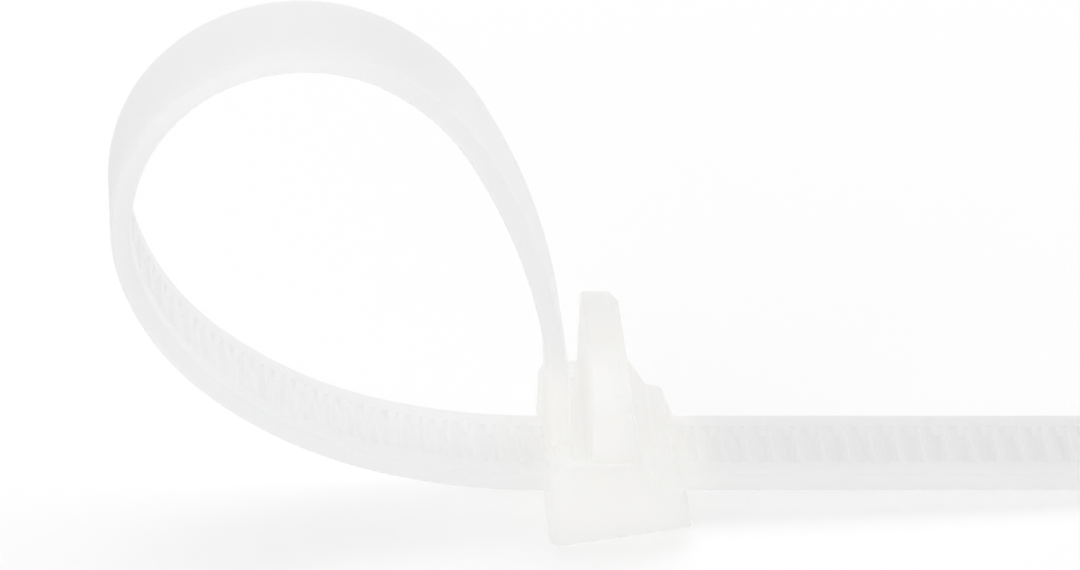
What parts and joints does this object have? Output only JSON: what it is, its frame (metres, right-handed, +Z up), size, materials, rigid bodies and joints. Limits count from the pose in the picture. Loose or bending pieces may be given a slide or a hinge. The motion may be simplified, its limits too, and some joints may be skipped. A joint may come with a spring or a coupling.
{
  "type": "reusable cable tie",
  "caption": "Releasable cable tie in natural nylon, closed into a loop, with its release tab up and its toothed tail lying flat.",
  "frame": {"origin": "middle of the flat underside of the tail, where the strap lies on the floor", "axes": "+X along the tail, away from the head; +Y across the strap, along the loop's axis; +Z up"},
  "size_m": [0.1363, 0.0138, 0.0353],
  "materials": {
    "nylon": "natural nylon, milky and translucent, with a soft sheen"
  },
  "bodies": {
    "root": {"cable_tie": "nylon"}
  },
  "joints": []
}
